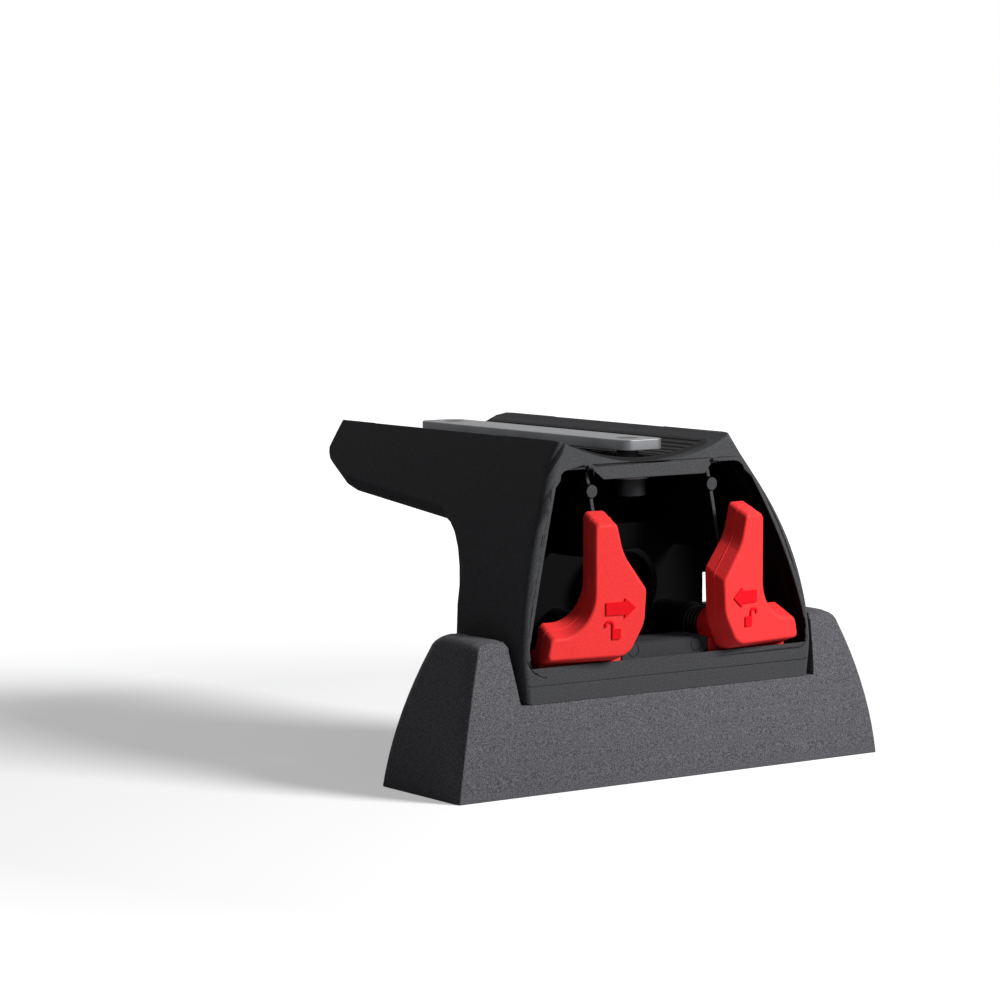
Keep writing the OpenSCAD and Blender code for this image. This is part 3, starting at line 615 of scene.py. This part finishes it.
# %% [markdown]
# The leg's copy loses the front of the old webs, gains the new ones, gets its lines and is softened.

# %% Leg
leg = tool_object("leg_shell", merged("leg_body"))
old_webs = []
for x0, x1 in ((18.6, 24.2), (-24.2, -18.6)):
    old_webs.append(box_tool("old_web", (x0, -9, 60), (x1, 0.6, 81.4)))
for x0, x1 in ((20.3, 22.7), (-22.7, -20.3)):
    old_webs.append(box_tool("old_web_top", (x0, -9, 81), (x1, 0.6, 84.2)))
    old_webs.append(box_tool("old_web_tip", (x0, -9, 84), (x1, -6.87, 84.7)))
combine(leg, old_webs, "DIFFERENCE")
combine(leg, [make(side) for make in (web_plate, web_disc) for side in (-1, 1)], "UNION")
LINE_DEEP = 0.25
lines = [line_tool("rim_line", -1.55, -1.2, LINE_DEEP, side) for side in (-1, 1)]
lines += [box_tool("band_line", (-60, BEFORE_LEG, 28.32), (60, FRONT_Y + LINE_DEEP, 28.68))]
combine(leg, lines, "DIFFERENCE")
leg_bm = bmesh.new()
leg_bm.from_mesh(leg.data)
in_order(leg_bm)
soften(leg_bm, "leg_body", 0.25, flat=0.05, keep=fold_normal)
leg_bm.to_mesh(leg.data)
leg_bm.free()
finish_piece(leg, "leg_body", sharp=50, more=(leg_inside_painted_shade,))

# %% [markdown]
# Outside, the leg has the fine grain. Inside the window the mould was polished, so those faces are
# smoother, and their near-black colour is painted shade for the deep shadow there. A face belongs
# to the inside when its centre lies behind the rim and within the hollow. The webs' front edges,
# the sill's top and the back wall's outer side keep the grain.

# %% Inside of the window
inside = 0
for face in leg.data.polygons:
    x, y, z = (v / MM for v in face.center)
    hollow = leg_front(z) + 0.8 < y < 26 and 24.5 < z < 84.6 and abs(x) < leg_half(z) - 1.0
    back = face.normal.y > 0.5 and y > 12.5
    sill = face.normal.z > 0.5 and z < 33.5 and y < -12
    web_edge = face.normal.y < -0.6 and y < 0 and 18.5 < abs(x) < 23
    # Faces in the hollow take the second slot, the near-black painted shade.
    face.material_index = 1 if hollow and not (back or sill or web_edge) else 0
    inside += face.material_index
print("leg:", inside, "faces inside the window")

# %% [markdown]
# The rounded fold between the leg's side and its front comes from the CAD as uneven triangles. Its
# exact shape is known, so each vertex on it gets the normal of the true surface, and the light runs
# over the fold as if it were one smooth round.

# %% Fold normals
leg_mesh = baked_mesh(leg)
leg.modifiers.clear()
leg.data = leg_mesh
normals = [Vector(n.vector) for n in leg_mesh.corner_normals]
turned = 0
for index, corner in enumerate(leg_mesh.loops):
    exact = fold_normal(leg_mesh.vertices[corner.vertex_index].co)
    if exact is not None and exact.dot(normals[index]) > 0.35:
        normals[index] = exact
        turned += 1
leg_mesh.normals_split_custom_set(normals)
print("leg:", turned, "corner normals set on the fold")

# %% [markdown]
# The pad is the part that rests on the roof. Its CAD form has plain round corners. On the real one
# the front breaks into the ends along a crisp line, and from there a flatter arc runs round each
# end. The rings of the skirt are formulas of the height, so each vertex can be found on its ring
# and set on the new one, and the tops of the ears get their smaller rounding in the same move.

# %% Pad rings
EAR_TOP, OLD_TOP_R, NEW_TOP_R = 41.0, 3.6, 2.6
GAP_X, OLD_GAP_R, NEW_GAP_R = 52.3, 3.4, 2.2
PAD_HALF_L, PAD_DRAW_L, PAD_HALF_W, PAD_DRAW_W = 72.7, 10.5, 18.15, 6.8
FRONT_CORNER_R, CREASE = 25, math.cos(math.radians(72))


def pad_half(z, top_r):
    t = z / EAR_TOP
    rise = max(z - (EAR_TOP - top_r), 0)
    over = top_r - math.sqrt(max(top_r**2 - rise**2, 0))
    length = PAD_HALF_L - PAD_DRAW_L * (0.45 * t + 0.55 * t * t) - over
    width = PAD_HALF_W - PAD_DRAW_W * (0.1 * t + 0.9 * t * t) - over
    return length, width


def corner_radius(z):
    return max(7 * (0.2 + 0.8 * z / EAR_TOP), 0.8)


def pad_corner_moved(bm):
    count = 0
    for vert in bm.verts:
        x, y, z = (v / MM for v in vert.co)
        if z < -0.01 or z > EAR_TOP + 0.01:
            continue
        length, width = pad_half(z, OLD_TOP_R)
        radius = corner_radius(z)
        ux, uy = abs(x) - (length - radius), abs(y) - (width - radius)
        on_arc = ux > -0.03 and uy > -0.03 and abs(math.hypot(ux, uy) - radius) < 0.05
        on_front, on_end = abs(uy - radius) < 0.03, abs(ux - radius) < 0.03
        gap_x, gap_z = abs(x) - GAP_X - OLD_GAP_R, z - EAR_TOP + OLD_GAP_R
        on_gap = abs(math.hypot(gap_x, gap_z) - OLD_GAP_R) < 0.05 and gap_x < 0.01 and gap_z > -0.01
        if on_gap:
            size = NEW_GAP_R / OLD_GAP_R
            x = math.copysign(GAP_X + NEW_GAP_R + gap_x * size, x)
            vert.co = mm(x, y, EAR_TOP - NEW_GAP_R + gap_z * size)
        if not (on_arc or on_front or on_end):
            continue
        old_shoulder = EAR_TOP - OLD_TOP_R
        new_z = z
        if on_gap:
            new_z = EAR_TOP - NEW_GAP_R + gap_z * size
        elif z > old_shoulder - 0.01:
            new_z = EAR_TOP - NEW_TOP_R + (z - old_shoulder) * NEW_TOP_R / OLD_TOP_R
        length, width = pad_half(new_z, NEW_TOP_R)
        new_radius = corner_radius(new_z)
        angle = math.atan2(uy, ux)
        if on_arc and y < 0:
            big = min(FRONT_CORNER_R * (0.38 + 0.62 * new_z / EAR_TOP), 0.9 * width / CREASE)
            turn = angle / 5
            new_x = length - big * (1 - math.cos(turn))
            new_y = width - big * (CREASE - math.sin(turn))
        elif on_arc:
            new_x = length - new_radius + new_radius * math.cos(angle)
            new_y = width - new_radius + new_radius * math.sin(angle)
        elif on_front:
            new_x, new_y = abs(x), width
        else:
            new_x, new_y = length, abs(y)
        vert.co = mm(math.copysign(new_x, x), math.copysign(new_y, y), new_z)
        count += 1
    print("pad:", count, "vertices set on the new rings")


# %% Pad
pad_bm = merged("base_pad")
pad_corner_moved(pad_bm)
soften(pad_bm, "base_pad", 0.3, angle=40)
pad = linked_object("pad_shell", pad_bm)
finish_piece(pad, "base_pad", sharp=40)

# %% [markdown]
# The striker and the fasteners are metal. Their edges are broken by only a tenth or two of a
# millimetre. Small turned parts look right as soon as that fine line of light is there.

# %% Metal parts
small_parts = {
    "striker": 0.22, "clamp_plate": 0.3, "clamp_screw_front": 0.25, "clamp_screw_rear": 0.25,
    "clamp_washer_front": 0.12, "clamp_washer_rear": 0.12, "roof_plate": 0.3,
    "striker_pin_left": 0.35, "striker_pin_right": 0.35, "striker_screw_left": 0.15,
    "striker_screw_right": 0.15, "roof_gasket": 0.2,
}
for name, width in small_parts.items():
    finish_piece(linked_object(name + "_part", softened(name, width)), name)
for side_name in ("left", "right"):
    for name, width in (("pivot_pin", 0.25), ("pin_washer", 0.1), ("pin_clip", 0.1)):
        node_name = side_name + "_" + name
        part = linked_object(node_name + "_part", softened(node_name, width))
        finish_piece(part, node_name, side_name + "_lever")

# %% [markdown]
# A lever is one moulding: a finger plate with a tab and a toe, a hub for the pin behind it, and a
# foot with the hook. The plate widens from its face to its back, so it leaves the mould, and each
# corner has a radius of its own. The face is made from its corners and extruded. Then each side edge
# is bevelled by radius * tan(turn / 2), the distance from a corner to where its arc starts.

# %% Rounded plates
def rounded_plate(front, back, y0, y1, segments=10, front_soft=0.0, back_soft=0.0):
    bm = bmesh.new()
    face = bm.faces.new([bm.verts.new(mm(x, y0, z)) for x, z, r in front])
    near = list(face.verts)
    grown = bmesh.ops.extrude_face_region(bm, geom=[face], use_keep_orig=True)
    far_verts = grown_verts(grown["geom"])
    paired = []
    for vert, (x, z, r) in zip(near, back):
        twin = min(far_verts, key=lambda v: (v.co - vert.co).length)
        far_verts.remove(twin)
        twin.co = mm(x, y1, z)
        paired.append(twin)
    bmesh.ops.recalc_face_normals(bm, faces=bm.faces[:])
    count = len(front)
    for i, (x, z, r) in enumerate(front):
        before, after = front[i - 1], front[(i + 1) % count]
        turn = Vector((x - before[0], z - before[1])).angle(Vector((after[0] - x, after[1] - z)))
        edge = bm.edges.get((near[i], paired[i]))
        bmesh.ops.bevel(bm, geom=[edge], offset=r * math.tan(turn / 2) * MM, offset_type="OFFSET",
                        affect="EDGES", segments=segments, profile=0.5, material=-1,
                        clamp_overlap=False)
    for depth, soft in ((y0, front_soft), (y1, back_soft)):
        if soft > 0:
            rim = [e for e in bm.edges if all(abs(v.co.y - depth * MM) < 1e-7 for v in e.verts)]
            bmesh.ops.bevel(bm, geom=rim, offset=soft * MM, offset_type="OFFSET", affect="EDGES",
                            segments=4, profile=0.5, material=-1, clamp_overlap=False)
    return bm


# %% [markdown]
# The mould that made the lever opened in two halves, and a faint ridge is left where they met. Two
# cuts across the sides bound a narrow band, and an inset with a small depth raises it.

# %% Parting ridge
def parting_ridge(bm, depth_mm, width_mm, proud_mm):
    for y in (depth_mm - width_mm / 2, depth_mm + width_mm / 2):
        bmesh.ops.bisect_plane(bm, geom=bm.verts[:] + bm.edges[:] + bm.faces[:], dist=1e-7,
                               plane_co=mm(0, y, 0), plane_no=(0, 1, 0))
    reach = 0.3 * width_mm * MM
    band = [f for f in bm.faces if abs(f.calc_center_median().y - depth_mm * MM) < reach]
    bmesh.ops.inset_region(bm, faces=band, thickness=0.06 * MM, depth=proud_mm * MM,
                           use_boundary=True, use_even_offset=True)
    return len(band)


# %% Finger plate
def plate_corners(flare):
    return [
        (6, 31.2 + 0.82 * flare, 1.6),
        (6, 1.5 + 0.95 * flare, 10),
        (19.3, 1.5 + 0.95 * flare, 1.8),
        (20.5 + 0.2 * flare, -4.2 - 0.6 * flare, 1.2),
        (-4.2 - 0.2 * flare, -4.2 - 0.6 * flare, 5),
        (-9.2 - 0.1 * flare, 4.3 - 0.3 * flare, 8),
        (-9.8 - 0.1 * flare, 13 + flare, 2.5),
        (-2.7, 22.9 + 0.8 * flare, 12),
        (-0.7, 31.2 + 0.82 * flare, 1.4),
    ]


plate_bm = rounded_plate(plate_corners(0), plate_corners(4), 0, 7.2, 12, 0.7, 0.5)
ridge_faces = parting_ridge(plate_bm, 3.9, 0.26, 0.08)
print("finger plate:", len(plate_bm.faces), "faces,", ridge_faces, "of them in the ridge")

# %% [markdown]
# The plate, hub, spring peg, foot and hook are closed shapes that overlap. They are joined, the
# pin's bore is cut, and two marks are added: an arrow for the way the lever moves, and an open
# padlock. The marks are raised and polished, and they take a second, darker red.

# %% Lever frame
LEVER_YAW = Matrix.Rotation(math.radians(7.8), 4, "Z")
LEVER_FRAME = Matrix.Translation(mm(23.1, -20.193, 39.5)) @ LEVER_YAW


def in_lever_frame(name, bm, mat):
    bmesh.ops.transform(bm, matrix=LEVER_FRAME, verts=bm.verts[:])
    made = linked_object(name, bm)
    made.data.materials.append(mat)
    return made


# %% Lever body
lever = in_lever_frame("lever", plate_bm, lever_nylon)
hub = in_lever_frame("hub", rod(4.8, 6.6, 15.2, soft=0.3), lever_nylon)
neck = in_lever_frame("neck", rod(3.4, 14.5, 20.9, soft=0.25), lever_nylon)
peg = in_lever_frame("peg", rod(1.0, 12.5, 17.0, x=2.6, z=-5.2, segments=24, soft=0.2), lever_nylon)
foot_outline = [(42.4, 36.8, 1.5), (42.4, 31.4, 1.5), (26.15, 29.6, 6), (15.15, 29.6, 0.8),
                (15.15, 36.8, 0.8)]
foot_bm = rounded_plate(foot_outline, foot_outline, -12.49, -5.49, 6, 0.3, 0.3)
foot_block = linked_object("foot_block", foot_bm)
hook_outline = [(18.15, 32.6, 0.6), (18.15, 29.6, 0.6), (11.95, 29.6, 0.9), (11.95, 32.6, 0.6)]
hook = linked_object("hook", rounded_plate(hook_outline, hook_outline, -9.59, -5.49, 6, 0.2, 0.2))
for shape in (foot_block, hook):
    shape.data.materials.append(lever_nylon)
combine(lever, [hub, neck, peg, foot_block, hook], "UNION")
print("lever body:", len(lever.data.polygons), "faces")

# %% [markdown]
# The marks stand 0.4 mm proud of the face and reach into it, so they join it cleanly. The arrow is a
# bar with a head. The padlock is a body and a bent shackle that stands open, one outline each.

# %% Marks
MARK_PROUD = 0.4
arrow = [(2.9, 7.0, 0.15), (2.9, 10.4, 0.15), (-2.9, 10.4, 0.15), (-2.9, 11.5, 0.15),
         (-6.2, 8.7, 0.2), (-2.9, 5.9, 0.15), (-2.9, 7.0, 0.15)]
lock_body = [(-1.6, 0.5, 0.2), (-1.6, 3.3, 0.2), (1.0, 3.3, 0.2), (1.0, 0.5, 0.2)]
shackle = [(0.4, 3.0, 0.05), (0.4, 4.9, 0.7), (1.2, 5.6, 0.7), (2.5, 5.6, 0.7), (3.2, 4.9, 0.5),
           (3.2, 3.9, 0.1), (2.6, 3.9, 0.1), (2.6, 4.7, 0.25), (2.2, 5.0, 0.25), (1.5, 5.0, 0.25),
           (1.0, 4.6, 0.25), (1.0, 3.0, 0.05)]
marks = []
for name, outline in (("arrow", arrow), ("lock_body", lock_body), ("shackle", shackle)):
    mark_bm = rounded_plate(outline, outline, -MARK_PROUD, 1, 3)
    marks.append(in_lever_frame(name, mark_bm, lever_mark))
bore = in_lever_frame("bore", rod(2.52, 3.2, 22), lever_nylon)
combine(lever, [bore], "DIFFERENCE")
combine(lever, marks, "UNION")
print("lever:", len(lever.data.polygons), "faces,", [m.name for m in lever.data.materials])

# %% [markdown]
# The two levers mirror each other. The left one is a mirrored copy of the finished mesh, turned
# right side out again by new normals.

# %% Both levers
def lever_piece(name, node_name, mirrored):
    bm = bmesh.new()
    bm.from_mesh(lever.data)
    if mirrored:
        bmesh.ops.scale(bm, vec=(-1, 1, 1), verts=bm.verts[:])
        bmesh.ops.reverse_faces(bm, faces=bm.faces[:])
    open_edges = sum(1 for e in bm.edges if len(e.link_faces) != 2)
    piece = linked_object(name, bm)
    indices = [p.material_index for p in piece.data.polygons]
    finish_piece(piece, node_name, node_name, sharp=35, more=(lever_mark,))
    piece.data.polygons.foreach_set("material_index", indices)
    print(name, "open edges:", open_edges, "marked faces:", sum(1 for i in indices if i))
    return piece


lever_piece("right_lever_plate", "right_lever", False)
lever_piece("left_lever_plate", "left_lever", True)
bpy.data.objects.remove(lever)

# %% [markdown]
# A torsion spring is round wire: a straight leg, three and a half turns, and another leg. A circle
# is extruded up the first leg, spun about the pin while it moves along it, and extruded down the
# last leg. The first leg hooks on the lever's peg and the last one on the leg's, so the coils twist
# between the two bodies when a lever turns.

# %% Return springs
def spring_wire(name, node_name, mirrored):
    bm = bmesh.new()
    radius, y0, y1, turns, steps = 4.15, 15.9, 20.5, 3.5, 84
    bmesh.ops.create_circle(bm, cap_ends=False, radius=0.5 * MM, segments=12,
                            matrix=Matrix.Translation(mm(radius, y0, -6.6)))
    edges = bm.edges[:]

    def pulled(edges, vector):
        grown = bmesh.ops.extrude_edge_only(bm, edges=edges)["geom"]
        verts = grown_verts(grown)
        bmesh.ops.translate(bm, vec=vector, verts=verts)
        return [e for e in grown_edges(grown) if all(v in verts for v in e.verts)]

    edges = pulled(edges, mm(0, 0, 6.6))
    verts = list({v for e in edges for v in e.verts})
    turned = bmesh.ops.spin(bm, geom=verts + edges, cent=mm(0, y0, 0), axis=(0, -1, 0),
                            dvec=mm(0, (y1 - y0) / steps, 0), angle=turns * 2 * math.pi,
                            steps=steps, use_merge=False, use_duplicate=False)["geom_last"]
    pulled(grown_edges(turned), mm(0, 0, -6.6))
    loose = [e for e in bm.edges if len(e.link_faces) == 1]
    bmesh.ops.holes_fill(bm, edges=loose, sides=0)
    bmesh.ops.transform(bm, matrix=LEVER_FRAME, verts=bm.verts[:])
    flip = Matrix.Diagonal((-1 if mirrored else 1, 1, 1, 1))
    bmesh.ops.transform(bm, matrix=flip, verts=bm.verts[:])
    bmesh.ops.recalc_face_normals(bm, faces=bm.faces[:])
    print(name, len(bm.faces), "faces, open:", sum(1 for e in bm.edges if len(e.link_faces) != 2))
    piece = finish_piece(linked_object(name, bm), node_name, body=None, sharp=50)
    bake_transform(piece)
    return piece


spring_wire("right_spring", "right_return_spring", False)
spring_wire("left_spring", "left_return_spring", True)

# %% [markdown]
# The rubber strip lines the trough, so the bar neither slips nor rattles. Its top has shallow
# grooves along the bar. A vertex is spun through the arc of the trough, the arc is extruded along
# the arm, every other face is inset downwards, and the sheet gets its thickness.

# %% Rubber strip
STRIP_R, STRIP_AXIS_Z, STRIP_HALF = 67.0, 153.4, 23.0
STRIP_FRONT, STRIP_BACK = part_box("saddle_strip")[0][1] / MM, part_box("saddle_strip")[1][1] / MM
strip = bmesh.new()
half_turn = math.asin(STRIP_HALF / STRIP_R)
first = strip.verts.new(mm(-STRIP_HALF, STRIP_FRONT, STRIP_AXIS_Z - STRIP_R * math.cos(half_turn)))
ribs = 33
bmesh.ops.spin(strip, geom=[first], cent=mm(0, STRIP_FRONT, STRIP_AXIS_Z), axis=(0, -1, 0),
               angle=2 * half_turn, steps=ribs, use_merge=False, use_duplicate=False)
arc = strip.edges[:]
grown = bmesh.ops.extrude_edge_only(strip, edges=arc)["geom"]
bmesh.ops.translate(strip, vec=mm(0, STRIP_BACK - STRIP_FRONT, 0),
                    verts=grown_verts(grown))
bmesh.ops.recalc_face_normals(strip, faces=strip.faces[:])
if sum(f.normal.z for f in strip.faces) < 0:
    bmesh.ops.reverse_faces(strip, faces=strip.faces[:])
bmesh.ops.solidify(strip, geom=strip.faces[:], thickness=0.95 * MM)
top_faces = [f for f in strip.faces if f.normal.z > 0.5]
top_faces.sort(key=lambda f: f.calc_center_median().x)
print("strip top faces:", len(top_faces))
bmesh.ops.inset_individual(strip, faces=top_faces[1::2], thickness=0.3 * MM, depth=-0.25 * MM,
                           use_even_offset=True)
strip_piece = linked_object("strip_ribbed", strip)
upright = Matrix.Rotation(math.radians(90), 4, "X")
holes = [linked_object("hole", rod(3.3, -5, 5)) for _ in range(2)]
for hole, y in zip(holes, (4.5, 88.0)):
    hole.data.transform(Matrix.Translation(mm(0, y, 86)) @ upright)
combine(strip_piece, holes, "DIFFERENCE")
finish_piece(strip_piece, "saddle_strip", sharp=35)
